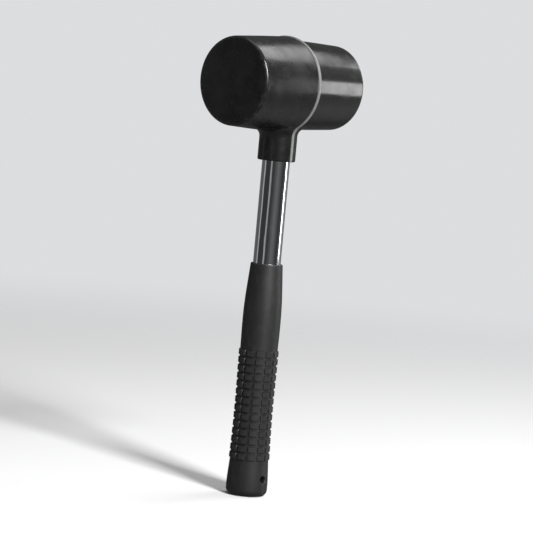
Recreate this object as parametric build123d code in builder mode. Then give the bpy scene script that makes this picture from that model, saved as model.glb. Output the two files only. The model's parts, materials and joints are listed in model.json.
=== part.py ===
from build123d import *

import os
from math import sqrt

# Shot-filled mallet with a tubular steel handle, in millimetres.
# The origin is at the middle of the handle's butt end. +Z runs up the handle to the head.
# The head's axis lies along X, with the soft striking face at -X and the hard one at +X.

# Whole mallet
OVERALL_HEIGHT = 300.0
HEAD_LENGTH = 100.0
FIT_GAP = 0.05                # radial gap of a pressed or bonded round fit
CROSS_CUT_LENGTH = 60.0       # longer than anything that a cross hole goes through
ROUNDING = 0.001

# Head halves and the seal between them
SEAL_RADIUS = 31.5
SEAL_THICKNESS = 2.2
SEAL_STAND = 0.5              # how far the seal stands out of the neck
SOFT_SEAM_RADIUS = 31.0
SOFT_FACE_RADIUS = 28.6
SOFT_EDGE_RADIUS = 2.2
HARD_SEAM_RADIUS = 29.2
HARD_FACE_RADIUS = 27.8
HARD_EDGE_RADIUS = 2.0
NECK_RADIUS = 12.3
NECK_BOTTOM = 219.0
NECK_BLEND_RADIUS = 8.0
NECK_LIP_RADIUS = 1.0
TAPER_OVERRUN = 26.0          # how far a half's taper runs past the seam before it is cut there

# Shot canister
CANISTER_RADIUS = 19.0
CANISTER_WALL = 1.5
CANISTER_LENGTH = 76.0
CAP_RIM_THICKNESS = 1.0
CAP_PLUG_DEPTH = 3.0
CAP_DISH_RADIUS = 11.0
CAP_DISH_DEPTH = 1.0

# Shot
SHOT_RADIUS = 3.0
SHOT_TRAVEL = 4.0             # the charge shifts this far each way along the head
SHOT_LAYERS = 9
SHOT_ROWS = 4                 # rows from the bottom of the canister: about two thirds full
SHOT_SIDE_PITCH = 6.3
SHOT_ROW_PITCH = 5.5
SHOT_WALL_GAP = 0.3
SHOT_END_GAP = 0.2

# Handle tube, its inserts and the socket under the canister
TUBE_RADIUS = 9.0
TUBE_WALL = 1.5
TUBE_BOTTOM = 20.0
TUBE_TOP_GAP = 1.0            # between the tube's top and the canister
TUBE_RIM_RADIUS = 0.4
SOCKET_RADIUS = 11.0
SOCKET_BOTTOM = 228.0
SOCKET_CHAMFER = 0.8
PIN_RADIUS = 2.0
PIN_HEIGHTS = (234.0, 243.0)
PIN_LENGTH = 21.2
PIN_CHAMFER = 0.4
CORE_BOTTOM = 205.0
CORE_CHAMFER = 1.0
PLUG_FLANGE = 2.5
PLUG_DEPTH = 14.0
PLUG_CHAMFER = 1.0

# Rubber grip
GRIP_TOP = 152.0
GRIP_TOP_RADIUS = 10.4
GRIP_SHOULDER = (12.3, 124.0)     # radius, height
GRIP_MIDDLE = (12.2, 90.0)
GRIP_WAIST = (11.9, 55.0)
GRIP_FLARE = (12.6, 24.0)
GRIP_BUTT = (13.5, 7.0)
GRIP_BUTT_EDGE = 4.0
GRIP_LIP_RADIUS = 0.5
HANG_HOLE_RADIUS = 2.4
HANG_HOLE_HEIGHT = 11.5

# Worked out
HEAD_AXIS_HEIGHT = OVERALL_HEIGHT - SEAL_RADIUS
CANISTER_BORE = CANISTER_RADIUS - CANISTER_WALL
CANISTER_BOTTOM = HEAD_AXIS_HEIGHT - CANISTER_RADIUS
CANISTER_BODY_LENGTH = CANISTER_LENGTH - 2 * CAP_RIM_THICKNESS
CHAMBER_LENGTH = CANISTER_BODY_LENGTH - 2 * CAP_PLUG_DEPTH
TUBE_TOP = CANISTER_BOTTOM - TUBE_TOP_GAP
TUBE_BORE = TUBE_RADIUS - TUBE_WALL
SHOT_SPAN = CHAMBER_LENGTH - 2 * (SHOT_TRAVEL + SHOT_END_GAP + SHOT_RADIUS)
SHOT_LAYER_PITCH = SHOT_SPAN / (SHOT_LAYERS - 1)

HEAD_AXIS = Axis((0, 0, HEAD_AXIS_HEIGHT), (1, 0, 0))
HEAD_SECTION = Plane(origin=(0, 0, HEAD_AXIS_HEIGHT), x_dir=(1, 0, 0), z_dir=(0, -1, 0))
ALONG_HEAD = (0, 90, 0)
ACROSS_HANDLE = (90, 0, 0)
UPWARDS = (Align.CENTER, Align.CENTER, Align.MIN)

os.makedirs("parts", exist_ok=True)


def cut_handle_recess():
    """Clears the canister, the socket and the handle tube out of the current part."""
    with Locations((0, 0, HEAD_AXIS_HEIGHT)):
        Cylinder(CANISTER_RADIUS + FIT_GAP, CANISTER_LENGTH, rotation=ALONG_HEAD, mode=Mode.SUBTRACT)
    with Locations((0, 0, SOCKET_BOTTOM)):
        Cylinder(
            SOCKET_RADIUS + FIT_GAP,
            HEAD_AXIS_HEIGHT - SOCKET_BOTTOM,
            align=UPWARDS,
            mode=Mode.SUBTRACT,
        )
    with Locations((0, 0, NECK_BOTTOM)):
        Cylinder(
            TUBE_RADIUS + FIT_GAP,
            HEAD_AXIS_HEIGHT - NECK_BOTTOM,
            align=UPWARDS,
            mode=Mode.SUBTRACT,
        )


def cut_pin_holes():
    """Drills the cross holes for the socket pins through the current part."""
    for height in PIN_HEIGHTS:
        with Locations((0, 0, height)):
            Cylinder(PIN_RADIUS, CROSS_CUT_LENGTH, rotation=ACROSS_HANDLE, mode=Mode.SUBTRACT)


def make_head_half(side, seam_radius, face_radius, edge_radius):
    """One half of the head: a tapered cup over the canister with half of the neck under it."""
    seam = side * SEAL_THICKNESS / 2
    face = side * HEAD_LENGTH / 2
    overrun = -side * TAPER_OVERRUN
    taper = (seam_radius - face_radius) / (HEAD_LENGTH / 2)
    overrun_radius = seam_radius + taper * TAPER_OVERRUN
    with BuildPart() as half:
        with BuildSketch(HEAD_SECTION) as outline:
            with BuildLine():
                Polyline(
                    (overrun, 0),
                    (overrun, overrun_radius),
                    (face, face_radius),
                    (face, 0),
                    close=True,
                )
            make_face()
            face_corners = outline.vertices().sort_by(Axis.X, reverse=side > 0)[:2]
            fillet(face_corners.sort_by(Axis.Y)[-1], edge_radius)
        revolve(axis=HEAD_AXIS)
        with Locations((0, 0, NECK_BOTTOM)):
            Cylinder(NECK_RADIUS, HEAD_AXIS_HEIGHT - NECK_BOTTOM, align=UPWARDS)
        meeting_curves = half.edges(Select.LAST).filter_by(GeomType.CIRCLE, reverse=True)
        fillet(meeting_curves.sort_by(Edge.length)[-1], NECK_BLEND_RADIUS)
        fillet(half.edges().filter_by(GeomType.CIRCLE).sort_by(Axis.Z)[0], NECK_LIP_RADIUS)
        split(bisect_by=Plane.YZ.offset(seam), keep=Keep.TOP if side > 0 else Keep.BOTTOM)
        cut_handle_recess()
    return half.part


# Soft striking half, at -X
soft_face_shell = make_head_half(-1, SOFT_SEAM_RADIUS, SOFT_FACE_RADIUS, SOFT_EDGE_RADIUS)
soft_face_shell.label = "soft_face_shell"
export_step(soft_face_shell, "parts/soft_face_shell.step")

# Hard striking half, at +X
hard_face_shell = make_head_half(1, HARD_SEAM_RADIUS, HARD_FACE_RADIUS, HARD_EDGE_RADIUS)
hard_face_shell.label = "hard_face_shell"
export_step(hard_face_shell, "parts/hard_face_shell.step")

# Flat seal on the middle plane, which shows as a fine line round the head and down the neck
with BuildPart() as seam_seal:
    with BuildSketch(Plane.YZ) as seal_outline:
        with Locations((0, HEAD_AXIS_HEIGHT)):
            Circle(SEAL_RADIUS)
        with Locations((0, NECK_BOTTOM)):
            Rectangle(
                2 * (NECK_RADIUS + SEAL_STAND),
                HEAD_AXIS_HEIGHT - NECK_BOTTOM,
                align=(Align.CENTER, Align.MIN),
            )
        neck_corners = seal_outline.vertices().group_by(Axis.Y)
        fillet(neck_corners[1], NECK_BLEND_RADIUS)
        fillet(neck_corners[0], NECK_LIP_RADIUS)
    extrude(amount=SEAL_THICKNESS / 2, both=True)
    cut_handle_recess()
seam_seal.part.label = "seam_seal"
export_step(seam_seal.part, "parts/seam_seal.step")

# Canister: the steel tube that holds the shot
with BuildPart() as shot_canister:
    with Locations((0, 0, HEAD_AXIS_HEIGHT)):
        Cylinder(CANISTER_RADIUS, CANISTER_BODY_LENGTH, rotation=ALONG_HEAD)
        Cylinder(CANISTER_BORE, CANISTER_BODY_LENGTH, rotation=ALONG_HEAD, mode=Mode.SUBTRACT)
shot_canister.part.label = "shot_canister"
export_step(shot_canister.part, "parts/shot_canister.step")


def make_cap(side):
    """A stepped disc that plugs one end of the canister, with a shallow dish in its outer face."""
    end = side * CANISTER_LENGTH / 2
    rim_back = side * CANISTER_BODY_LENGTH / 2
    plug_back = side * CHAMBER_LENGTH / 2
    dish_floor = end - side * CAP_DISH_DEPTH
    with BuildPart() as cap:
        with BuildSketch(HEAD_SECTION):
            with BuildLine():
                Polyline(
                    (plug_back, 0),
                    (plug_back, CANISTER_BORE - FIT_GAP),
                    (rim_back, CANISTER_BORE - FIT_GAP),
                    (rim_back, CANISTER_RADIUS),
                    (end, CANISTER_RADIUS),
                    (end, CAP_DISH_RADIUS + CAP_DISH_DEPTH),
                    (dish_floor, CAP_DISH_RADIUS),
                    (dish_floor, 0),
                    close=True,
                )
            make_face()
        revolve(axis=HEAD_AXIS)
    return cap.part


# Canister end caps
for cap_name, cap_side in (("soft_end_cap", -1), ("hard_end_cap", 1)):
    end_cap = make_cap(cap_side)
    end_cap.label = cap_name
    export_step(end_cap, f"parts/{cap_name}.step")


def shot_centres():
    """Ball centres: rows stacked from the bottom of the bore, repeated in layers along the head."""
    reach = CANISTER_BORE - SHOT_RADIUS - SHOT_WALL_GAP
    lowest_row = -sqrt(reach**2 - (SHOT_SIDE_PITCH / 2) ** 2)
    centres = []
    for row in range(SHOT_ROWS):
        drop = lowest_row + row * SHOT_ROW_PITCH
        half_width = sqrt(reach**2 - drop**2)
        shift = SHOT_SIDE_PITCH / 2 if row % 2 == 0 else 0.0
        most_aside = int(half_width // SHOT_SIDE_PITCH) + 1
        for place in range(-most_aside, most_aside + 1):
            aside = place * SHOT_SIDE_PITCH + shift
            if abs(aside) <= half_width + ROUNDING:
                for layer in range(SHOT_LAYERS):
                    along = -SHOT_SPAN / 2 + layer * SHOT_LAYER_PITCH
                    centres.append((along, aside, HEAD_AXIS_HEIGHT + drop))
    return centres


# Steel shot: loose balls, shown together in the middle of their travel
with BuildPart() as steel_shot:
    with Locations(*shot_centres()):
        Sphere(SHOT_RADIUS)
steel_shot.part.label = "steel_shot"
export_step(steel_shot.part, "parts/steel_shot.step")

# Socket: a sleeve under the canister, saddled to its round side, that takes the handle
with BuildPart() as handle_socket:
    with Locations((0, 0, SOCKET_BOTTOM)):
        Cylinder(SOCKET_RADIUS, HEAD_AXIS_HEIGHT - SOCKET_BOTTOM, align=UPWARDS)
    chamfer(handle_socket.edges().filter_by(GeomType.CIRCLE).sort_by(Axis.Z)[0], SOCKET_CHAMFER)
    with Locations((0, 0, SOCKET_BOTTOM)):
        Cylinder(
            TUBE_RADIUS + FIT_GAP,
            HEAD_AXIS_HEIGHT - SOCKET_BOTTOM,
            align=UPWARDS,
            mode=Mode.SUBTRACT,
        )
    with Locations((0, 0, HEAD_AXIS_HEIGHT)):
        Cylinder(CANISTER_RADIUS, CANISTER_LENGTH, rotation=ALONG_HEAD, mode=Mode.SUBTRACT)
    cut_pin_holes()
handle_socket.part.label = "handle_socket"
export_step(handle_socket.part, "parts/handle_socket.step")

# Socket pins: they lock the handle tube in the socket
with BuildPart() as socket_pins:
    for pin_height in PIN_HEIGHTS:
        with Locations((0, 0, pin_height)):
            Cylinder(PIN_RADIUS, PIN_LENGTH, rotation=ACROSS_HANDLE)
    chamfer(socket_pins.edges().filter_by(GeomType.CIRCLE), PIN_CHAMFER)
socket_pins.part.label = "socket_pins"
export_step(socket_pins.part, "parts/socket_pins.step")

# Handle tube
with BuildPart() as handle_tube:
    with Locations((0, 0, TUBE_BOTTOM)):
        Cylinder(TUBE_RADIUS, TUBE_TOP - TUBE_BOTTOM, align=UPWARDS)
        Cylinder(TUBE_BORE, TUBE_TOP - TUBE_BOTTOM, align=UPWARDS, mode=Mode.SUBTRACT)
    fillet(handle_tube.edges().filter_by(GeomType.CIRCLE), TUBE_RIM_RADIUS)
    cut_pin_holes()
handle_tube.part.label = "handle_tube"
export_step(handle_tube.part, "parts/handle_tube.step")

# Core: a solid dowel in the tube's head end, so that the tube can't crush at the pins
with BuildPart() as tube_core:
    with Locations((0, 0, CORE_BOTTOM)):
        Cylinder(TUBE_BORE - FIT_GAP, TUBE_TOP - CORE_BOTTOM, align=UPWARDS)
    chamfer(tube_core.edges().filter_by(GeomType.CIRCLE), CORE_CHAMFER)
    cut_pin_holes()
tube_core.part.label = "tube_core"
export_step(tube_core.part, "parts/tube_core.step")

# End plug: closes the tube's lower end inside the grip
with BuildPart() as tube_end_plug:
    with Locations((0, 0, TUBE_BOTTOM - PLUG_FLANGE)):
        Cylinder(TUBE_RADIUS, PLUG_FLANGE, align=UPWARDS)
    with Locations((0, 0, TUBE_BOTTOM)):
        Cylinder(TUBE_BORE - FIT_GAP, PLUG_DEPTH, align=UPWARDS)
    chamfer(tube_end_plug.edges().filter_by(GeomType.CIRCLE).sort_by(Axis.Z)[-1], PLUG_CHAMFER)
tube_end_plug.part.label = "tube_end_plug"
export_step(tube_end_plug.part, "parts/tube_end_plug.step")

# Grip: a rubber sleeve with a swelling profile, a solid butt and a hole to hang it by
with BuildPart() as grip_sleeve:
    with BuildSketch(Plane.XZ) as grip_outline:
        with BuildLine():
            Line((0, 0), (GRIP_BUTT[0], 0))
            Line((GRIP_BUTT[0], 0), GRIP_BUTT)
            Spline(
                GRIP_BUTT,
                GRIP_FLARE,
                GRIP_WAIST,
                GRIP_MIDDLE,
                GRIP_SHOULDER,
                (GRIP_TOP_RADIUS, GRIP_TOP),
                tangents=((0, 1), (0, 1)),
            )
            Line((GRIP_TOP_RADIUS, GRIP_TOP), (0, GRIP_TOP))
            Line((0, GRIP_TOP), (0, 0))
        make_face()
        fillet(grip_outline.vertices().group_by(Axis.Y)[0].sort_by(Axis.X)[-1], GRIP_BUTT_EDGE)
        fillet(grip_outline.vertices().group_by(Axis.Y)[-1].sort_by(Axis.X)[-1], GRIP_LIP_RADIUS)
    revolve(axis=Axis.Z)
    with Locations((0, 0, TUBE_BOTTOM - PLUG_FLANGE)):
        Cylinder(
            TUBE_RADIUS + FIT_GAP,
            GRIP_TOP - TUBE_BOTTOM + PLUG_FLANGE,
            align=UPWARDS,
            mode=Mode.SUBTRACT,
        )
    with Locations((0, 0, HANG_HOLE_HEIGHT)):
        Cylinder(HANG_HOLE_RADIUS, CROSS_CUT_LENGTH, rotation=ACROSS_HANDLE, mode=Mode.SUBTRACT)
grip_sleeve.part.label = "grip_sleeve"
export_step(grip_sleeve.part, "parts/grip_sleeve.step")
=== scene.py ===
import json
import math

import bmesh
import bpy
import numpy as np
from mathutils import Matrix, Vector


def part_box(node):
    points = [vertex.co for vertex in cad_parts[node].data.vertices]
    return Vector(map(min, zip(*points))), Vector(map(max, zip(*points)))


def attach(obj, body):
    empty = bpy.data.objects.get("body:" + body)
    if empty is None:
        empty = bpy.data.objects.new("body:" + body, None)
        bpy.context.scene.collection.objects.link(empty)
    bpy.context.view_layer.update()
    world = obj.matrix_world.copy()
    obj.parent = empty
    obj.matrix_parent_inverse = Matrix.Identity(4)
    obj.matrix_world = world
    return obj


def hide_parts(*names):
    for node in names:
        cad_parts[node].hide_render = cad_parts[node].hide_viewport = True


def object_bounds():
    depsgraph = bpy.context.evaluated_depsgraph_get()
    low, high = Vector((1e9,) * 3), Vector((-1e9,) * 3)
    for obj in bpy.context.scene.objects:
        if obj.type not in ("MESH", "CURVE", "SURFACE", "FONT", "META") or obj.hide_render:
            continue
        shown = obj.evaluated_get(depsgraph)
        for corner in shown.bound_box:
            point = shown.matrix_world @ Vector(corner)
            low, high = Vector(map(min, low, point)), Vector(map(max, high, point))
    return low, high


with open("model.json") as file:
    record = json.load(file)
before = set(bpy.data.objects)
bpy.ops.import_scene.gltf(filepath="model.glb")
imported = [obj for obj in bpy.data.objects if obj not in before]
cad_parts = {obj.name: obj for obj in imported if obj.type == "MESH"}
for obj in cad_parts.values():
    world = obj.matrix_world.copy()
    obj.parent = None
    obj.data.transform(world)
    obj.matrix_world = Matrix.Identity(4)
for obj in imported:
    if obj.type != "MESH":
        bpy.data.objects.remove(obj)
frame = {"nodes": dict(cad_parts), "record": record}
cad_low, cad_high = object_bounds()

MM = 0.001

# Places and sizes read from the frame, in metres
canister_low, canister_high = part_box("shot_canister")
_, soft_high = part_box("soft_face_shell")
_, hard_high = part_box("hard_face_shell")
seal_low, seal_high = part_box("seam_seal")
socket_low, socket_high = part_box("handle_socket")
tube_low, tube_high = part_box("handle_tube")
plug_low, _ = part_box("tube_end_plug")
_, grip_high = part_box("grip_sleeve")
_, cap_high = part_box("hard_end_cap")
shot_low, shot_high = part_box("steel_shot")
HANG_HOLE = next(m for m in frame["record"]["mounts"] if m["name"] == "hang_hole")

AXIS_HEIGHT = (canister_low.z + canister_high.z) / 2
CANISTER_RADIUS = (canister_high.z - canister_low.z) / 2
CANISTER_REACH = cap_high.x
HEAD_REACH = hard_high.x
SEAL_HALF = seal_high.x
SEAL_RADIUS = seal_high.z - AXIS_HEIGHT
SOFT_SEAM_RADIUS = soft_high.z - AXIS_HEIGHT
HARD_SEAM_RADIUS = hard_high.z - AXIS_HEIGHT
NECK_BOTTOM = seal_low.z
SOCKET_RADIUS = socket_high.x
SOCKET_BOTTOM = socket_low.z
TUBE_RADIUS = tube_high.x
TUBE_BOTTOM = tube_low.z
TUBE_TOP = tube_high.z
GRIP_TOP = grip_high.z
BUTT_RADIUS = grip_high.x
GRIP_POCKET_FLOOR = plug_low.z
HOLE_HEIGHT = HANG_HOLE["pos_m"][2]
HOLE_RADIUS = HANG_HOLE["dims"]["r_mm"] * MM

# Head and neck
FIT_GAP = 0.05 * MM
SOFT_FACE_RADIUS = 28.6 * MM
SOFT_EDGE = 2.2 * MM
HARD_FACE_RADIUS = 27.8 * MM
HARD_EDGE = 2.0 * MM
FACE_CROWN = 0.35 * MM
SIDE_BULGE = 0.12 * MM
SEAM_EDGE = 0.5 * MM
NECK_RADIUS = 12.3 * MM
NECK_BLEND = 8.0 * MM
NECK_LIP = 1.0 * MM
SEAL_STAND = 0.5 * MM
SEAL_EDGE = 0.7 * MM
SEAL_FOOT = 0.6 * MM              # width of the seal's flat foot beside the tube's bore
RUN_ON = 0.6 * MM                 # how far the neck's skin runs on past its blend into the head
BURIED = 1.2 * MM                 # how deep the neck's top edge lies inside the head
BLEND_PASSES = 30
RIM_INSET = 0.3                   # where a rim is worn most, as a share of its radius
RIM_SPREAD = 0.8                  # how far the wear reaches, as a share of its radius

# Shot
CANISTER_WALL = 1.5 * MM
SHOT_RADIUS = 3.0 * MM
SHOT_WALL_GAP = 0.3 * MM
SHOT_LAYERS = 9
SHOT_ROWS = 4
SHOT_SIDE_PITCH = 6.3 * MM
SHOT_ROW_PITCH = 5.5 * MM
BALL_RINGS = 7
BALL_TURNS = 12

# Handle tube
TUBE_WALL = 1.5 * MM
TUBE_RIM = 0.4 * MM
TUBE_TURNS = 192

# Grip: (height, radius) of its outline from the butt's side up to the lip
GRIP_OUTLINE = np.array(
    [(4.0, 13.5), (7.0, 13.5), (24.0, 12.6), (55.0, 11.9), (90.0, 12.2), (124.0, 12.3), (151.4, 10.5)]
) * MM
BUTT_EDGE = 4.0 * MM
LIP_RADIUS = 0.6 * MM
BLOCK_COLUMNS = 12
BLOCK_PITCH = 5.2 * MM
BLOCK_ROWS = 14
BLOCK_BOTTOM = 24.0 * MM
BLOCK_GAP = 1.3 * MM
BLOCK_SLOPE = 0.3 * MM
BLOCK_HEIGHT = 0.75 * MM
BLOCK_SIDE_SLOPE = 1.2            # in grid steps round the grip
MOULD_LINE_WIDTH = 0.35 * MM
MOULD_LINE_HEIGHT = 0.12 * MM
GRIP_TURNS = 240
TURNS_PER_GAP = 4
HOLE_EDGE = 0.6 * MM
HOLE_STEP = 0.35 * MM             # between the grid's rings beside the hole
HOLE_RING = 8                     # grid steps from the hole's middle to its mouth
HOLE_REACH = 18                   # grid steps from the hole's middle to where the grid is even again

HEAD_TURNS = 192
SHARP_ANGLE = math.radians(34)
MERGE_DISTANCE = 2e-6

# Camera
VIEW_AZIMUTH = -50.0
VIEW_DISTANCE = 1.7
VIEW_RISE = 0.022                 # how far the camera stands above the head's axis
VIEW_ROLL = 5.2
VIEW_HEIGHT = 0.345               # how much height the camera takes in at the handle's axis
SENSOR = 36.0

# Studio tones
BACKDROP = (0.72, 0.725, 0.735)
CEILING = (0.16, 0.16, 0.165, 1)
ROOM_TONES = (                    # (bearing from +X in degrees, tone)
    (-180, 0.18), (-173, 0.42), (-162, 0.04), (-146, 0.05), (-112, 0.14), (-90, 0.09), (-68, 0.03),
    (-52, 0.09), (-40, 0.15), (-24, 0.40), (-8, 0.30), (14, 0.08), (70, 0.12), (116, 0.10), (126, 0.52),
    (134, 0.04), (166, 0.04),
)
FLOOR_REACH = 1.5
FLOOR_FADE = 0.25
FLOOR_RINGS = 40
FLOOR_TURNS = 96
CEILING_FROM, CEILING_FULL = 0.3, 0.9    # the sine of the rise above level


# ---------------------------------------------------------------- points and outlines

def arc(centre, radius, start, stop, steps):
    """Points on a circle: the centre plus the radius times (cos, sin) of even angles in degrees."""
    angles = np.radians(np.linspace(start, stop, steps))
    return np.stack([centre[0] + radius * np.cos(angles), centre[1] + radius * np.sin(angles)], axis=1)


def run(start, stop, steps):
    """Evenly spaced points on the straight line from start to stop."""
    share = np.linspace(0, 1, steps)[:, None]
    return np.array(start) * (1 - share) + np.array(stop) * share


def join(*stretches):
    """One outline from stretches of points, without the points that neighbours share."""
    points = np.concatenate(stretches)
    step = np.linalg.norm(np.diff(points, axis=0), axis=1)
    return points[np.concatenate([[True], step > MERGE_DISTANCE])]


def smooth_step(low, high, value):
    """0 below low, 1 above high, and 3t squared minus 2t cubed between them."""
    share = np.clip((value - low) / (high - low), 0, 1)
    return share * share * (3 - 2 * share)


def through(knots, at):
    """A smooth curve through (place, value) knots.

    It is made of cubic pieces whose slope at a knot comes from its neighbours."""
    place, value = knots[:, 0], knots[:, 1]
    slope = np.gradient(value, place)
    piece = np.clip(np.searchsorted(place, at) - 1, 0, len(place) - 2)
    width = place[piece + 1] - place[piece]
    share = (at - place[piece]) / width
    square, cube = share**2, share**3
    start = value[piece] * (2 * cube - 3 * square + 1) + slope[piece] * width * (cube - 2 * square + share)
    stop = value[piece + 1] * (3 * square - 2 * cube) + slope[piece + 1] * width * (cube - square)
    return start + stop


# ---------------------------------------------------------------- meshes

def grid_quads(rows, columns, wrap_rows=False, wrap_columns=False):
    """Corner numbers of the quads between neighbouring points on a grid of rows and columns."""
    row, column = np.meshgrid(
        np.arange(rows if wrap_rows else rows - 1),
        np.arange(columns if wrap_columns else columns - 1),
        indexing="ij",
    )
    next_row, next_column = (row + 1) % rows, (column + 1) % columns
    corners = [
        row * columns + column,
        row * columns + next_column,
        next_row * columns + next_column,
        next_row * columns + column,
    ]
    return np.stack(corners, axis=-1).reshape(-1, 4)


def make_piece(name, surfaces, body, nodes, finish):
    """Joins surfaces, each (points, quads, per-point values), into one closed mesh that stands for CAD nodes
    on a body.

    Points that meet are merged, faces are turned outwards, and the per-point values, rim wear on the head
    halves and the painted-light mask of the grip's blocks, are kept as a point attribute."""
    points, quads, wear, count = [], [], [], 0
    for grid, corners, worn_and_painted_light in surfaces:
        flat = grid.reshape(-1, 3)
        points.append(flat)
        quads.append(corners + count)
        wear.append(np.broadcast_to(worn_and_painted_light, grid.shape[:-1]).reshape(-1))
        count += len(flat)
    mesh = bpy.data.meshes.new(name)
    mesh.from_pydata(np.concatenate(points), [], np.concatenate(quads).tolist())
    attribute = mesh.attributes.new("wear", "FLOAT", "POINT")
    attribute.data.foreach_set("value", np.concatenate(wear).astype(np.float32))
    shape = bmesh.new()
    shape.from_mesh(mesh)
    bmesh.ops.remove_doubles(shape, verts=shape.verts, dist=MERGE_DISTANCE)
    bmesh.ops.recalc_face_normals(shape, faces=shape.faces)
    shape.to_mesh(mesh)
    shape.free()
    mesh.polygons.foreach_set("use_smooth", np.ones(len(mesh.polygons), bool))
    mesh.set_sharp_from_angle(angle=SHARP_ANGLE)
    piece = bpy.data.objects.new(name, mesh)
    bpy.context.scene.collection.objects.link(piece)
    mesh.materials.append(finish)
    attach(piece, body)
    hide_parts(*nodes)


def turned(outline, turns, axis):
    """A surface of revolution: the outline's (along, radius) points turned about an axis.

    About the head's, x is along and (y, z) is the radius times (cos, sin). About the handle's, z is along
    and (x, y) is the radius times (cos, sin)."""
    angle = np.arange(turns) * (2 * math.pi / turns)
    along = np.repeat(outline[:, :1], turns, axis=1)
    across = outline[:, 1:] * np.cos(angle)
    other = outline[:, 1:] * np.sin(angle)
    if axis == "head":
        return np.stack([along, across, AXIS_HEIGHT + other], axis=-1)
    return np.stack([across, other, along], axis=-1)


# ---------------------------------------------------------------- head

def head_outline(face_radius, seam_radius, edge):
    """One head half's closed outline as (distance from the seam plane's middle, radius).

    It runs from the crowned face's middle over its rounded edge, along the tapered side, round the seam
    edge, and back through the canister's pocket to the pocket floor's middle."""
    flat = face_radius - edge
    radius = np.concatenate([np.linspace(0, flat * 0.96, 26), np.linspace(flat * 0.98, flat, 3)])
    face = np.stack([HEAD_REACH - FACE_CROWN * (radius / flat) ** 2, radius], axis=1)
    shoulder = HEAD_REACH - FACE_CROWN - edge
    side_share = np.concatenate([[0, 0.01], np.linspace(0.03, 0.97, 30), [0.99, 1]])
    seam_edge = SEAL_HALF + SEAM_EDGE
    taper = face_radius + (seam_radius - face_radius) * side_share
    bulge = SIDE_BULGE * np.sin(math.pi * side_share)
    side = np.stack([shoulder + (seam_edge - shoulder) * side_share, taper + bulge], axis=1)
    pocket = CANISTER_RADIUS + FIT_GAP
    return join(
        face,
        arc((shoulder, flat), edge, 0, 90, 14),
        side,
        arc((seam_edge, seam_radius - SEAM_EDGE), SEAM_EDGE, 90, 180, 7),
        run((SEAL_HALF, seam_radius - SEAM_EDGE), (SEAL_HALF, pocket), 8),
        run((SEAL_HALF, pocket), (CANISTER_REACH, pocket), 16),
        run((CANISTER_REACH, pocket), (CANISTER_REACH, 0), 8),
    )


def neck_half(side, seam_radius, face_radius):
    """Half of the neck, from the seam plane round one side of the handle.

    Each upright section starts at the lip, rises on the neck's radius, and turns on an arc that meets the
    head tangentially: the arc's centre stands one blend radius off both. The section then dips into the
    head. The inner skin stands at the same heights on the tube's and the socket's bores. Both span the
    azimuth that the seam plane leaves. Returns the outer and the inner skin."""
    azimuth = np.linspace(-math.pi / 2, math.pi / 2, 73)[:, None]
    taper = (seam_radius - face_radius) / (HEAD_REACH - SEAL_HALF)

    def head_under(reach):
        """Height and slope of the head's underside at a distance from the handle's axis."""
        local = seam_radius - taper * np.abs(reach * np.cos(azimuth))
        deep = np.sqrt(local**2 - (reach * np.sin(azimuth)) ** 2)
        slope = (reach * np.sin(azimuth) ** 2 + local * taper * np.abs(np.cos(azimuth))) / deep
        return AXIS_HEIGHT - deep, slope

    reach = np.full_like(azimuth, NECK_RADIUS + NECK_BLEND)
    for _ in range(BLEND_PASSES):
        lean = np.arctan(head_under(reach)[1])
        reach = NECK_RADIUS + NECK_BLEND * (1 - np.sin(lean))
    touch_height, slope = head_under(reach)
    lean = np.arctan(slope)
    centre_height = touch_height - NECK_BLEND * np.cos(lean)
    turn = np.linspace(0, 1, 22) * (math.pi / 2 - lean)
    blend_radius = NECK_RADIUS + NECK_BLEND - NECK_BLEND * np.cos(turn)
    blend_height = centre_height + NECK_BLEND * np.sin(turn)

    even = np.ones_like(azimuth)
    lip = arc((NECK_RADIUS - NECK_LIP, NECK_BOTTOM + NECK_LIP), NECK_LIP, -90, 0, 8)
    low = np.linspace(lip[-1, 1], SOCKET_BOTTOM, 7)[1:]
    rise = np.linspace(0, 1, 8)[1:-1]
    stretches = [
        (even * (TUBE_RADIUS + FIT_GAP), even * NECK_BOTTOM),
        (even * lip[:, 0], even * lip[:, 1]),
        (even * NECK_RADIUS * np.ones_like(low), even * low),
        (even * NECK_RADIUS * np.ones_like(rise), SOCKET_BOTTOM + (centre_height - SOCKET_BOTTOM) * rise),
        (blend_radius, blend_height),
        (reach + RUN_ON, touch_height + RUN_ON * slope + 0.1 * RUN_ON),
        (reach + RUN_ON, touch_height + BURIED + RUN_ON * slope),
    ]
    radius = np.concatenate([part[0] for part in stretches], axis=1)
    height = np.concatenate([part[1] for part in stretches], axis=1)
    bore = np.where(height > SOCKET_BOTTOM - MERGE_DISTANCE, SOCKET_RADIUS, TUBE_RADIUS) + FIT_GAP
    share = azimuth / (math.pi / 2)
    skins = []
    for skin in (radius, bore):
        spread = share * np.arccos(SEAL_HALF / skin)
        skins.append(np.stack([side * skin * np.cos(spread), skin * np.sin(spread), height], axis=-1))
    return skins


def end_fans(grid):
    """Flat covers for a tube-like grid's two ends: each ring, and the same ring squeezed onto its middle."""
    covers = []
    for ring in (grid[0], grid[-1]):
        middle = np.broadcast_to(ring.mean(axis=0), ring.shape)
        covers.append(np.stack([ring, middle]))
    return covers


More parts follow.
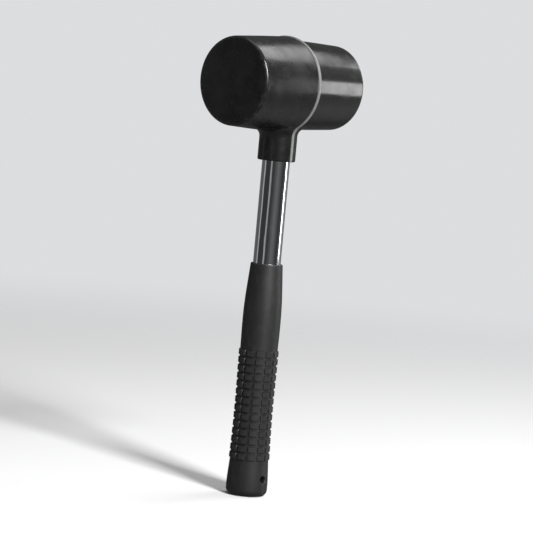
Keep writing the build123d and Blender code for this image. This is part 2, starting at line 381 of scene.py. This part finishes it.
def make_head_half(name, side, face_radius, seam_radius, edge, finish):
    """One half of the head, turned from its outline, with its half of the neck. Its rim carries the wear."""
    outline = head_outline(face_radius, seam_radius, edge)
    rim = np.array([HEAD_REACH - RIM_INSET * edge, face_radius - RIM_INSET * edge])
    rim_wear = np.exp(-((np.linalg.norm(outline - rim, axis=1) / (RIM_SPREAD * edge)) ** 2))
    mirrored = outline * (side, 1)
    shell = turned(mirrored, HEAD_TURNS, "head")
    surfaces = [(shell, grid_quads(len(shell), HEAD_TURNS, wrap_columns=True), rim_wear[:, None])]
    outer, inner = neck_half(side, seam_radius, face_radius)
    neck = np.concatenate([outer, inner[:, ::-1]], axis=1)
    surfaces.append((neck, grid_quads(*neck.shape[:2], wrap_columns=True), 0.0))
    for end in (0, -1):
        cover = np.stack([outer[end], inner[end]])
        surfaces.append((cover, grid_quads(*cover.shape[:2]), 0.0))
    make_piece(name + "_skin", surfaces, "mallet", [name], finish)


def seal_edges():
    """Outer and inner edge of the seal on the seam plane, as matching (across, height) points.

    The outer edge follows the neck, a concave arc and the head's circle. The inner edge goes up the tube's
    and the socket's bores to where the socket meets the canister, and then round the canister."""
    leg = NECK_RADIUS + SEAL_STAND
    corner = leg + NECK_BLEND
    centre = (-corner, AXIS_HEIGHT - math.sqrt((SEAL_RADIUS + NECK_BLEND) ** 2 - corner**2))
    lean = math.degrees(math.atan2(AXIS_HEIGHT - centre[1], corner))
    tube_bore, socket_bore = TUBE_RADIUS + FIT_GAP, SOCKET_RADIUS + FIT_GAP
    pocket = CANISTER_RADIUS + FIT_GAP
    pocket_lean = math.degrees(math.acos(socket_bore / pocket))
    pocket_start = AXIS_HEIGHT - math.sqrt(pocket**2 - socket_bore**2)
    lip = arc((NECK_LIP - leg, NECK_BOTTOM + NECK_LIP), NECK_LIP, -90, -180, 6)
    start = run((-tube_bore - SEAL_FOOT, NECK_BOTTOM), lip[0], 2)
    rise = join(start, lip, run(lip[-1], (-leg, SOCKET_BOTTOM), 6))
    legs = run((-leg, SOCKET_BOTTOM), (-leg, centre[1]), 6)
    outer = [
        rise,
        legs,
        arc(centre, NECK_BLEND, 0, lean, 16),
        arc((0, AXIS_HEIGHT), SEAL_RADIUS, 180 + lean, 90, 80),
    ]
    inner = [
        np.stack([np.full(len(rise), -tube_bore), rise[:, 1]], axis=1),
        np.stack([np.full(len(legs), -socket_bore), legs[:, 1]], axis=1),
        run((-socket_bore, centre[1]), (-socket_bore, pocket_start), 16),
        arc((0, AXIS_HEIGHT), pocket, 180 + pocket_lean, 90, 80),
    ]
    left, inner_left = np.concatenate(outer), np.concatenate(inner)
    moved = sum(np.linalg.norm(np.diff(edge, axis=0), axis=1) for edge in (left, inner_left))
    kept = np.concatenate([[True], moved > MERGE_DISTANCE])
    left, inner_left = left[kept], inner_left[kept]
    mirror = np.array([-1, 1])
    return (
        np.concatenate([left, (left * mirror)[-2::-1]]),
        np.concatenate([inner_left, (inner_left * mirror)[-2::-1]]),
    )


def make_seam_seal(finish):
    """The seal on the seam plane: a section with a rounded outer edge, carried along matching edges."""
    outer, inner = seal_edges()
    tangent = np.gradient(outer, axis=0)
    tangent /= np.linalg.norm(tangent, axis=1)[:, None]
    outward = np.stack([-tangent[:, 1], tangent[:, 0]], axis=1)
    outward[[0, -1]] = ((-1, 0), (1, 0))
    round_edge = arc((0, 0), SEAL_EDGE, 90, 0, 6)
    flat = SEAL_HALF - SEAL_EDGE
    half = np.stack([flat + round_edge[::-1, 1], SEAL_EDGE - round_edge[::-1, 0]], axis=1)
    half = half[np.argsort(half[:, 0])]
    rounded = np.concatenate([half[::-1] * (-1, 1), half])
    lines = [(-SEAL_HALF, inner)]
    lines += [(across, outer - outward * depth) for across, depth in rounded]
    lines += [(SEAL_HALF, inner)]
    band = np.stack([np.insert(line, 0, across, axis=1) for across, line in lines], axis=1)
    band[:, :, 2] = np.maximum(band[:, :, 2], NECK_BOTTOM)
    surfaces = [(band, grid_quads(*band.shape[:2], wrap_columns=True), 0.0)]
    for cover in end_fans(band):
        surfaces.append((cover, grid_quads(*cover.shape[:2], wrap_columns=True), 0.0))
    make_piece("seam_seal_bead", surfaces, "mallet", ["seam_seal"], finish)


def make_shot(finish):
    """The loose shot: one ball, an arc turned about the head's axis, set at every centre of a stack.

    Rows rise by an even pitch from the bottom of the bore. Each holds the balls that fit between the
    bore's walls, every other row shifted by half a pitch, and is repeated in layers along the head."""
    layers = np.linspace(shot_low.x + SHOT_RADIUS, shot_high.x - SHOT_RADIUS, SHOT_LAYERS)
    reach = CANISTER_RADIUS - CANISTER_WALL - SHOT_RADIUS - SHOT_WALL_GAP
    places = np.arange(-SHOT_ROWS, SHOT_ROWS + 1) * SHOT_SIDE_PITCH
    centres = []
    for row in range(SHOT_ROWS):
        height = shot_low.z + SHOT_RADIUS + row * SHOT_ROW_PITCH
        half_width = math.sqrt(reach**2 - (AXIS_HEIGHT - height) ** 2)
        aside = places + (SHOT_SIDE_PITCH / 2 if row % 2 == 0 else 0)
        aside = aside[np.abs(aside) <= half_width + MERGE_DISTANCE]
        grid = np.stack(np.meshgrid(layers, aside, [height], indexing="ij"), axis=-1)
        centres.append(grid.reshape(-1, 3))
    centres = np.concatenate(centres)
    outline = arc((0, 0), SHOT_RADIUS, 180, 0, BALL_RINGS)
    ball = turned(outline, BALL_TURNS, "head") - (0, 0, AXIS_HEIGHT)
    balls = centres[:, None, None] + ball
    quads = grid_quads(BALL_RINGS, BALL_TURNS, wrap_columns=True)
    every = np.arange(len(centres))[:, None, None] * (BALL_RINGS * BALL_TURNS) + quads
    surfaces = [(balls, every.reshape(-1, 4), 0.0)]
    make_piece("shot_balls", surfaces, "shot", ["steel_shot"], finish)


# ---------------------------------------------------------------- handle

def make_tube(finish):
    """The handle tube: an upright ring section with rounded rims, turned about the handle's axis."""
    inner = TUBE_RADIUS - TUBE_WALL
    outline = join(
        arc((TUBE_BOTTOM + TUBE_RIM, inner + TUBE_RIM), TUBE_RIM, 270, 180, 5),
        arc((TUBE_BOTTOM + TUBE_RIM, TUBE_RADIUS - TUBE_RIM), TUBE_RIM, 180, 90, 5),
        run((TUBE_BOTTOM + TUBE_RIM, TUBE_RADIUS), (TUBE_TOP - TUBE_RIM, TUBE_RADIUS), 60),
        arc((TUBE_TOP - TUBE_RIM, TUBE_RADIUS - TUBE_RIM), TUBE_RIM, 90, 0, 5),
        arc((TUBE_TOP - TUBE_RIM, inner + TUBE_RIM), TUBE_RIM, 0, -90, 5),
        run((TUBE_TOP - TUBE_RIM, inner), (TUBE_BOTTOM + TUBE_RIM, inner), 20)[:-1],
    )
    pipe = turned(outline, TUBE_TURNS, "handle")
    quads = grid_quads(len(pipe), TUBE_TURNS, wrap_rows=True, wrap_columns=True)
    make_piece("chrome_tube", [(pipe, quads, 0.0)], "mallet", ["handle_tube"], finish)


def grip_heights():
    """Heights of the grip's rings: close together at the lip, at the blocks' slopes and round the hole."""
    foot = GRIP_OUTLINE[0, 0]
    hole = HOLE_HEIGHT + HOLE_STEP * np.arange(-HOLE_REACH, HOLE_REACH + 1)
    within = np.array([0, BLOCK_SLOPE / 2, BLOCK_SLOPE, BLOCK_PITCH / 3, BLOCK_PITCH / 2])
    top = BLOCK_PITCH - BLOCK_GAP
    block = np.unique(np.concatenate([within, top - within[within < top / 2]]))
    rows = [BLOCK_BOTTOM + row * BLOCK_PITCH + block for row in range(BLOCK_ROWS)]
    blocks_top = BLOCK_BOTTOM + BLOCK_ROWS * BLOCK_PITCH
    below = np.linspace(hole[-1], BLOCK_BOTTOM, 12)[1:-1]
    above = np.linspace(blocks_top, GRIP_OUTLINE[-1, 0], 44)
    return np.concatenate([[foot, (foot + hole[0]) / 2], hole, below, *rows, above])


def block_relief(height, angle):
    """How far the blocks stand out: 1 on a block and 0 in the gaps, with sloped edges along and across."""
    along = np.mod(height - BLOCK_BOTTOM, BLOCK_PITCH)
    up = np.minimum(along, BLOCK_PITCH - BLOCK_GAP - along)
    rise = smooth_step(0, BLOCK_SLOPE, up)
    last_top = BLOCK_BOTTOM + BLOCK_ROWS * BLOCK_PITCH - BLOCK_GAP
    in_rows = (height > BLOCK_BOTTOM - MERGE_DISTANCE) & (height < last_top)
    steps = np.mod(angle / (2 * math.pi) * GRIP_TURNS, GRIP_TURNS / BLOCK_COLUMNS)
    sideways = np.minimum(steps, GRIP_TURNS / BLOCK_COLUMNS - steps) - TURNS_PER_GAP / 2
    return rise * smooth_step(0, BLOCK_SIDE_SLOPE, sideways) * in_rows


def make_grip(finish):
    """The rubber grip: its outline turned about the handle, with blocks raised on it and a hole through it.

    The radius at a height is the outline's, plus the blocks' relief times their height, plus a low mould
    line on each side that falls off as the exponential of minus the distance squared. Round the hole the
    grid's square rings are eased onto circles, the inmost being the hole's mouth, whose rounded edge
    and wall are one more grid from mouth to mouth."""
    height = grip_heights()
    column = np.arange(GRIP_TURNS)
    angle = 2 * math.pi * column / GRIP_TURNS
    base_height, base_angle = np.meshgrid(height, angle, indexing="ij")
    middle_row = int(np.argmin(np.abs(height - HOLE_HEIGHT)))
    row_step = np.arange(len(height))[:, None] - middle_row
    local_radius = float(through(GRIP_OUTLINE, np.array([HOLE_HEIGHT]))[0])
    mouth_radius = HOLE_RADIUS + HOLE_EDGE
    removed = np.zeros(base_height.shape, bool)
    mouths = []
    for mouth_column in (GRIP_TURNS // 4, 3 * GRIP_TURNS // 4):
        column_step = column[None, :] - mouth_column
        ring = np.maximum(np.abs(row_step), np.abs(column_step))
        near = ring <= HOLE_REACH
        sideways = (base_angle - angle[mouth_column]) * local_radius
        upwards = base_height - HOLE_HEIGHT
        bearing = np.arctan2(upwards, sideways)
        share = smooth_step(HOLE_RING, HOLE_REACH, ring)
        new_sideways = mouth_radius * np.cos(bearing) * (1 - share) + sideways * share
        new_upwards = mouth_radius * np.sin(bearing) * (1 - share) + upwards * share
        base_angle = np.where(near, angle[mouth_column] + new_sideways / local_radius, base_angle)
        base_height = np.where(near, HOLE_HEIGHT + new_upwards, base_height)
        removed |= ring < HOLE_RING
        on_mouth = np.argwhere(ring == HOLE_RING)
        order = np.argsort(bearing[on_mouth[:, 0], on_mouth[:, 1]])
        mouths.append(on_mouth[order])
    relief = block_relief(base_height, base_angle)
    mould_line = np.exp(-((np.sin(base_angle) * BUTT_RADIUS / MOULD_LINE_WIDTH) ** 2)) * MOULD_LINE_HEIGHT
    radius = through(GRIP_OUTLINE, base_height) + relief * BLOCK_HEIGHT + mould_line * (1 - relief)
    side = np.stack([radius * np.cos(base_angle), radius * np.sin(base_angle), base_height], axis=-1)
    quads = grid_quads(*base_height.shape, wrap_columns=True)
    kept = ~removed.reshape(-1)[quads].any(axis=1)
    # The relief is kept as the grip's per-point values, which its finish uses as a painted-light mask:
    # painted highlight on the blocks' tops, painted shade in the gaps.
    surfaces = [(side, quads[kept], relief)]

    lip_start = GRIP_OUTLINE[-1]
    bore = TUBE_RADIUS + FIT_GAP
    top = join(
        [(lip_start[0], lip_start[1])],
        arc((GRIP_TOP - LIP_RADIUS, lip_start[1] - LIP_RADIUS), LIP_RADIUS, 90, 0, 7),
        run((GRIP_TOP, lip_start[1] - LIP_RADIUS), (GRIP_TOP, bore), 3),
        run((GRIP_TOP, bore), (GRIP_POCKET_FLOOR, bore), 40),
        run((GRIP_POCKET_FLOOR, bore), (GRIP_POCKET_FLOOR, 0), 6),
    )
    bottom = join(
        arc((BUTT_EDGE, BUTT_RADIUS - BUTT_EDGE), BUTT_EDGE, 90, 180, 16),
        run((0, BUTT_RADIUS - BUTT_EDGE), (0, 0), 10),
    )
    top_surface, bottom_surface = (turned(outline, GRIP_TURNS, "handle") for outline in (top, bottom))
    top_surface[0] = side[-1]
    bottom_surface[0] = side[0]
    for surface in (top_surface, bottom_surface):
        surfaces.append((surface, grid_quads(len(surface), GRIP_TURNS, wrap_columns=True), 0.0))

    edge = np.radians(np.linspace(0, 90, 7))[:, None]
    walls = []
    for mouth, out in zip(mouths, (1, -1)):
        start = side[mouth[:, 0], mouth[:, 1]]
        away = start - (0, 0, HOLE_HEIGHT)
        shrink = (HOLE_RADIUS + HOLE_EDGE * (1 - np.sin(edge))) / mouth_radius
        ring = np.stack(
            [
                away[None, :, 0] * shrink,
                start[None, :, 1] - out * HOLE_EDGE * (1 - np.cos(edge)),
                HOLE_HEIGHT + away[None, :, 2] * shrink,
            ],
            axis=-1,
        )
        walls.append(ring)
    back, front = walls
    front = front[:, ::-1]
    shift = int(np.argmin(np.linalg.norm(front[-1][:, ::2] - back[-1][0, ::2], axis=1)))
    front = np.roll(front, -shift, axis=1)
    wall = np.concatenate([back, front[::-1]])
    surfaces.append((wall, grid_quads(*wall.shape[:2], wrap_columns=True), 0.0))
    make_piece("rubber_grip", surfaces, "mallet", ["grip_sleeve"], finish)


# ---------------------------------------------------------------- shader building

class Value:
    """A number that varies over a surface. Sums, differences and products add Math nodes."""

    def __init__(self, shader, socket):
        self.shader = shader
        self.socket = socket

    def combined(self, operation, first, second):
        node = self.shader.add("ShaderNodeMath", {"operation": operation}, {0: first, 1: second})
        return Value(self.shader, node.outputs[0])

    def __add__(self, other):
        return self.combined("ADD", self, other)

    def __radd__(self, other):
        return self.combined("ADD", other, self)

    def __sub__(self, other):
        return self.combined("SUBTRACT", self, other)

    def __rsub__(self, other):
        return self.combined("SUBTRACT", other, self)

    def __mul__(self, other):
        return self.combined("MULTIPLY", self, other)

    def __rmul__(self, other):
        return self.combined("MULTIPLY", other, self)

class Tree:
    """A node tree, with one method that adds any node."""

    def __init__(self, owner):
        owner.use_nodes = True
        self.nodes = owner.node_tree.nodes
        self.links = owner.node_tree.links
        self.nodes.clear()

    def add(self, kind, settings=None, sockets=None):
        """Adds a node, makes its settings first, and then gives its sockets their values or links."""
        node = self.nodes.new(kind)
        for key, value in (settings or {}).items():
            if key == "stops":
                self.set_stops(node.color_ramp.elements, value)
            else:
                setattr(node, key, value)
        for key, value in (sockets or {}).items():
            socket = node.inputs[key]
            if isinstance(value, Value):
                self.links.new(value.socket, socket)
            elif isinstance(value, bpy.types.NodeSocket):
                self.links.new(value, socket)
            else:
                socket.default_value = value
        return node

    def set_stops(self, elements, stops):
        """Puts (position, grey level) stops on a ramp, in rising order."""
        while len(elements) < len(stops):
            elements.new(1.0)
        for element, (position, level) in zip(elements, stops):
            element.position = position
            element.color = (level, level, level, 1)


class Shader(Tree):
    """A material on the Principled shader."""

    def __init__(self, name, **constants):
        self.material = bpy.data.materials.new(name)
        super().__init__(self.material)
        self.surface = self.add("ShaderNodeBsdfPrincipled", {}, constants)
        self.add("ShaderNodeOutputMaterial", {}, {"Surface": self.surface.outputs[0]})
        self.place = self.add("ShaderNodeTexCoord").outputs["Object"]

    def stretched(self, stretch):
        """Object coordinates multiplied along each axis, for grain that runs one way."""
        node = self.add("ShaderNodeMapping", {}, {"Vector": self.place, "Scale": stretch})
        return node.outputs[0]

    def noise(self, scale, detail=3.0, rough=0.55, warp=0.0, stretch=(1, 1, 1)):
        """Fractal noise on Object coordinates, at scale features per metre."""
        vector = self.place if tuple(stretch) == (1, 1, 1) else self.stretched(stretch)
        sockets = {"Vector": vector, "Scale": scale, "Detail": detail, "Roughness": rough, "Distortion": warp}
        return Value(self, self.add("ShaderNodeTexNoise", {}, sockets).outputs["Fac"])

    def cells(self, scale):
        """Distance to the nearest point of a scattered set, for pits and specks."""
        sockets = {"Vector": self.place, "Scale": scale}
        return Value(self, self.add("ShaderNodeTexVoronoi", {}, sockets).outputs["Distance"])

    def attribute(self, name):
        """A number stored on the mesh's points."""
        return Value(self, self.add("ShaderNodeAttribute", {"attribute_name": name}).outputs["Fac"])

    def between(self, value, low, high):
        """Maps low to high onto 0 to 1, smoothly, and holds it there outside."""
        sockets = {"Value": value, "From Min": low, "From Max": high}
        node = self.add("ShaderNodeMapRange", {"interpolation_type": "SMOOTHSTEP"}, sockets)
        return Value(self, node.outputs[0])

    def mixed(self, factor, first, second):
        """A colour between two colours, by a factor."""
        first, second = ((*c, 1) if isinstance(c, tuple) else c for c in (first, second))
        node = self.add("ShaderNodeMix", {"data_type": "RGBA"}, {0: factor, 6: first, 7: second})
        return node.outputs[2]

    def finish(self, colour, roughness, bumps=()):
        """Links the varying inputs. bumps are (height value, metres, strength), innermost first."""
        self.links.new(colour, self.surface.inputs["Base Color"])
        self.links.new(roughness.socket, self.surface.inputs["Roughness"])
        normal = None
        for height, distance, strength in bumps:
            sockets = {"Height": height, "Distance": distance, "Strength": strength}
            if normal is not None:
                sockets["Normal"] = normal
            normal = self.add("ShaderNodeBump", {}, sockets).outputs[0]
        if normal is not None:
            self.links.new(normal, self.surface.inputs["Normal"])
        return self.material


# ---------------------------------------------------------------- finishes

def soft_rubber():
    """Satin black rubber: slightly uneven, with faint dust, scuffed where its rim has struck."""
    shader = Shader("soft_rubber", IOR=1.5)
    swell = shader.noise(34, 1.5, 0.4, 0.3)
    blotch = shader.between(shader.noise(75, 3, 0.5, 0.2), 0.32, 0.70)
    grain = shader.noise(1900, 2)
    dust = shader.between(shader.noise(150, 5, 0.6, 0.2), 0.50, 0.84)
    scuff = shader.between(shader.noise(300, 4, 0.6), 0.5, 0.75) * shader.attribute("wear")
    colour = shader.mixed(dust * 0.35, (0.007, 0.007, 0.0075), (0.022, 0.022, 0.023))
    colour = shader.mixed(scuff, colour, (0.035, 0.035, 0.034))
    roughness = 0.23 + blotch * 0.12 + dust * 0.06 + scuff * 0.08
    return shader.finish(colour, roughness, [(swell, 0.9 * MM, 0.4), (grain, 0.03 * MM, 0.4)])


def hard_polymer():
    """Harder, glossier black polymer with faint smudges from handling."""
    shader = Shader("hard_polymer", IOR=1.52)
    swell = shader.noise(30, 1.5, 0.4, 0.3)
    smudge = shader.between(shader.noise(110, 4, 0.6, 0.9), 0.45, 0.78)
    scratch = shader.between(shader.noise(900, 3, 0.6, 2.5), 0.62, 0.72)
    scuff = shader.between(shader.noise(320, 4, 0.6), 0.5, 0.75) * shader.attribute("wear")
    colour = shader.mixed(smudge, (0.007, 0.007, 0.007), (0.013, 0.013, 0.0125))
    colour = shader.mixed(scuff, colour, (0.032, 0.032, 0.031))
    roughness = 0.16 + smudge * 0.09 + scratch * 0.06 + scuff * 0.12
    return shader.finish(colour, roughness, [(swell, 0.8 * MM, 0.4), (scratch, 0.01 * MM, 0.4)])


def seal_rubber():
    """Dark grey seal rubber, painted lighter than its own tone as a painted highlight along the seam, with a
    smooth squeezed-out edge.
    """
    shader = Shader("seal_rubber", IOR=1.5)
    nicks = shader.noise(600, 4, 0.7)
    # Painted highlight: both greys are lighter than the seal's own dark rubber, to show the bright line along
    # the seam.
    colour = shader.mixed(nicks, (0.10, 0.10, 0.098), (0.20, 0.20, 0.195))
    return shader.finish(colour, 0.26 + nicks * 0.16, [(nicks, 0.08 * MM, 0.5)])


def grip_rubber():
    """Matte black grip rubber: fine grained, with painted shade that leaves the gaps between the blocks
    darker and a painted highlight that lightens the blocks' tops, which are also rubbed smoother.
    """
    shader = Shader("grip_rubber", IOR=1.5)
    grain = shader.noise(2600, 2)
    cloud = shader.noise(60, 4, 0.6, 0.3)
    # top is the blocks' relief, 1 on their tops; it drives the painted light below and the lower roughness of
    # the rubbed tops.
    top = shader.attribute("wear")
    dust = shader.between(shader.noise(240, 5, 0.65, 0.3), 0.48, 0.8)
    colour = shader.mixed(dust * 0.4, (0.010, 0.010, 0.0105), (0.036, 0.036, 0.037))
    # Painted light: the blocks' tops are lightened as painted highlight, partly also standing for rubbing,
    # and the gaps stay darker as painted shade.
    colour = shader.mixed(top * 0.6, colour, (0.022, 0.022, 0.023))
    roughness = 0.44 + cloud * 0.12 - top * 0.10
    return shader.finish(colour, roughness, [(cloud, 0.4 * MM, 0.3), (grain, 0.05 * MM, 0.6)])


def tube_chrome():
    """Bright chrome plate with faint lengthwise polishing and a few smudges."""
    shader = Shader("tube_chrome", Metallic=1.0)
    polish = shader.noise(2400, 2, 0.5, stretch=(1, 1, 0.02))
    smudge = shader.between(shader.noise(90, 4, 0.6, 0.7), 0.5, 0.75)
    ripple = shader.noise(70, 2, 0.45, 0.3, stretch=(1, 1, 0.6))
    colour = shader.mixed(smudge * 0.4, (0.80, 0.81, 0.83), (0.66, 0.67, 0.69))
    roughness = 0.045 + smudge * 0.10 + polish * 0.03
    return shader.finish(colour, roughness, [(ripple, 0.55 * MM, 0.5), (polish, 0.004 * MM, 0.3)])


def drawn_steel(name, tone, stretch, roughness):
    """Plain steel with drawing marks along one axis and a little staining."""
    shader = Shader(name, Metallic=1.0)
    marks = shader.noise(1500, 3, 0.6, stretch=stretch)
    stain = shader.between(shader.noise(110, 4, 0.6, 0.5), 0.5, 0.8)
    worn_and_painted_light = tuple(0.72 * level for level in tone)
    colour = shader.mixed(stain, tone, worn_and_painted_light)
    rough = roughness + marks * 0.14 + stain * 0.08
    return shader.finish(colour, rough, [(marks, 0.02 * MM, 0.4)])


def ball_steel():
    """Bright shot with small pits."""
    shader = Shader("shot_steel", Metallic=1.0)
    pits = shader.cells(900)
    stain = shader.noise(320, 3)
    colour = shader.mixed(stain, (0.62, 0.62, 0.63), (0.44, 0.44, 0.45))
    return shader.finish(colour, 0.16 + stain * 0.14, [(pits, 0.03 * MM, 0.4)])


def core_wood():
    """Pale turned hardwood with its grain up the handle."""
    shader = Shader("core_wood", IOR=1.45)
    grain = shader.noise(700, 5, 0.65, 0.3, stretch=(1, 1, 0.06))
    pores = shader.between(shader.noise(2600, 2, stretch=(1, 1, 0.1)), 0.55, 0.7)
    colour = shader.mixed(grain, (0.56, 0.39, 0.22), (0.40, 0.25, 0.12))
    colour = shader.mixed(pores * 0.5, colour, (0.22, 0.13, 0.06))
    return shader.finish(colour, 0.52 + grain * 0.16, [(grain, 0.06 * MM, 0.5)])


def plug_plastic():
    """Matte moulded plastic with a fine spark-eroded texture."""
    shader = Shader("plug_plastic", IOR=1.46)
    texture = shader.noise(2200, 2)
    cloud = shader.noise(140, 3)
    colour = shader.mixed(cloud, (0.035, 0.035, 0.038), (0.055, 0.055, 0.06))
    return shader.finish(colour, 0.42 + cloud * 0.12, [(texture, 0.04 * MM, 0.6)])


def cover_node(name, finish):
    """Gives a carried-over CAD node its finish."""
    data = frame["nodes"][name].data
    data.materials.clear()
    data.materials.append(finish)


# ---------------------------------------------------------------- studio

def floor_finish():
    """Pale floor that clears with distance to the even backdrop, so that no horizon shows."""
    shader = Shader("floor_paper", Roughness=0.9)
    fibre = shader.noise(900, 3)
    colour = shader.mixed(fibre, (0.78, 0.78, 0.78), (0.82, 0.82, 0.82))
    material = shader.finish(colour, 0.86 + fibre * 0.08)
    away = shader.add("ShaderNodeVectorMath", {"operation": "LENGTH"}, {0: shader.place}).outputs["Value"]
    far = shader.between(Value(shader, away), FLOOR_FADE, FLOOR_REACH)
    clear = shader.add("ShaderNodeBsdfTransparent").outputs[0]
    blend = shader.add("ShaderNodeMixShader", {}, {0: far, 1: shader.surface.outputs[0], 2: clear})
    output = shader.nodes["Material Output"]
    shader.links.new(blend.outputs[0], output.inputs["Surface"])
    return material


def make_floor():
    """A wide disc: rings of points from the middle out, at the grip's foot. It stays out of the gloss."""
    rings = np.linspace(0, FLOOR_REACH, FLOOR_RINGS)[:, None]
    angle = np.arange(FLOOR_TURNS) * (2 * math.pi / FLOOR_TURNS)
    disc = np.stack([rings * np.cos(angle), rings * np.sin(angle), 0 * rings * angle], axis=-1)
    mesh = bpy.data.meshes.new("floor")
    quads = grid_quads(FLOOR_RINGS, FLOOR_TURNS, wrap_columns=True)
    mesh.from_pydata(disc.reshape(-1, 3), [], quads.tolist())
    floor = bpy.data.objects.new("floor", mesh)
    bpy.context.scene.collection.objects.link(floor)
    mesh.materials.append(floor_finish())
    floor.visible_glossy = False


def make_world():
    """A pale backdrop behind everything, and a dim room that shows in the mallet's gloss.

    The room's tone changes with the bearing, as between walls and windows, and evens out overhead."""
    world = bpy.data.worlds.new("studio")
    tree = Tree(world)
    direction = tree.add("ShaderNodeTexCoord").outputs["Generated"]
    bearing = tree.add("ShaderNodeTexGradient", {"gradient_type": "RADIAL"}, {"Vector": direction})
    stops = [(0.5 + degrees / 360, tone) for degrees, tone in ROOM_TONES]
    walls = tree.add("ShaderNodeValToRGB", {"stops": stops}, {"Fac": bearing.outputs["Fac"]})
    rise = tree.add("ShaderNodeSeparateXYZ", {}, {0: direction}).outputs["Z"]
    span = {"Value": rise, "From Min": CEILING_FROM, "From Max": CEILING_FULL}
    lift = tree.add("ShaderNodeMapRange", {}, span)
    room_tone = tree.add(
        "ShaderNodeMix",
        {"data_type": "RGBA"},
        {0: lift.outputs[0], 6: walls.outputs["Color"], 7: CEILING},
    )
    room = tree.add("ShaderNodeBackground", {}, {"Color": room_tone.outputs[2]})
    backdrop = tree.add("ShaderNodeBackground", {}, {"Color": (*BACKDROP, 1)})
    seen = tree.add("ShaderNodeLightPath").outputs["Is Camera Ray"]
    choice = tree.add("ShaderNodeMixShader", {}, {0: seen, 1: room.outputs[0], 2: backdrop.outputs[0]})
    tree.add("ShaderNodeOutputWorld", {}, {"Surface": choice.outputs[0]})
    bpy.context.scene.world = world
    bpy.context.scene.view_settings.view_transform = "Standard"


def add_softbox(name, bearing, rise, distance, size, brightness, upright=(0, 0, 1)):
    """A rectangular area light that faces the head and shows in its gloss, but isn't seen itself.

    It stands at a bearing from +X towards +Y and a rise above level, both in degrees. Its power is its
    brightness times pi times its area, and its second side lies along the upright direction."""
    data = bpy.data.lights.new(name, "AREA")
    data.shape = "RECTANGLE"
    data.size, data.size_y = size
    data.energy = brightness * math.pi * size[0] * size[1]
    light = bpy.data.objects.new(name, data)
    turn, lift = math.radians(bearing), math.radians(rise)
    away = Vector((math.cos(turn) * math.cos(lift), math.sin(turn) * math.cos(lift), math.sin(lift)))
    across = Vector(upright).cross(away).normalized()
    light.matrix_world = Matrix((across, away.cross(across), away)).transposed().to_4x4()
    light.location = Vector((0, 0, AXIS_HEIGHT)) + away * distance
    light.visible_camera = False
    bpy.context.scene.collection.objects.link(light)


def make_camera():
    """A camera just above the head's axis, turned to the soft face, that takes in the whole mallet."""
    middle = Vector((0, 0, (cad_low.z + cad_high.z) / 2))
    turn = math.radians(VIEW_AZIMUTH)
    data = bpy.data.cameras.new("camera")
    data.sensor_width = SENSOR
    data.lens = SENSOR * VIEW_DISTANCE / VIEW_HEIGHT
    camera = bpy.data.objects.new("camera", data)
    camera.location = (
        math.sin(turn) * VIEW_DISTANCE,
        -math.cos(turn) * VIEW_DISTANCE,
        AXIS_HEIGHT + VIEW_RISE,
    )
    aim = (camera.location - middle).to_track_quat("Z", "Y").to_matrix().to_4x4()
    camera.rotation_mode = "QUATERNION"
    camera.rotation_quaternion = (aim @ Matrix.Rotation(math.radians(VIEW_ROLL), 4, "Z")).to_quaternion()
    bpy.context.scene.collection.objects.link(camera)
    bpy.context.scene.camera = camera


# ---------------------------------------------------------------- the mallet

make_camera()
make_head_half(
    "soft_face_shell", -1, SOFT_FACE_RADIUS, SOFT_SEAM_RADIUS, SOFT_EDGE, soft_rubber()
)
make_head_half(
    "hard_face_shell", 1, HARD_FACE_RADIUS, HARD_SEAM_RADIUS, HARD_EDGE, hard_polymer()
)
make_seam_seal(seal_rubber())
make_tube(tube_chrome())
make_grip(grip_rubber())
make_shot(ball_steel())

canister_steel = drawn_steel("canister_steel", (0.52, 0.52, 0.53), (0.05, 1, 1), 0.28)
for node in ("shot_canister", "soft_end_cap", "hard_end_cap", "handle_socket"):
    cover_node(node, canister_steel)
cover_node("socket_pins", drawn_steel("pin_steel", (0.60, 0.58, 0.52), (1, 0.05, 1), 0.24))
cover_node("tube_core", core_wood())
cover_node("tube_end_plug", plug_plastic())

make_floor()
make_world()
add_softbox("overhead_right", -10.4, 46, 1.3, (0.66, 0.40), 4.4, upright=(1, 0, 0))
add_softbox("right_strip", -34.5, 1, 1.5, (0.235, 0.5), 6.8)
add_softbox("rim_light", -108, 30, 1.5, (0.30, 0.70), 62)
add_softbox("right_panel", -4, 22, 1.4, (0.5, 0.5), 5.0)
add_softbox("top", 0, 89.9, 1.5, (1.0, 1.0), 1.4)
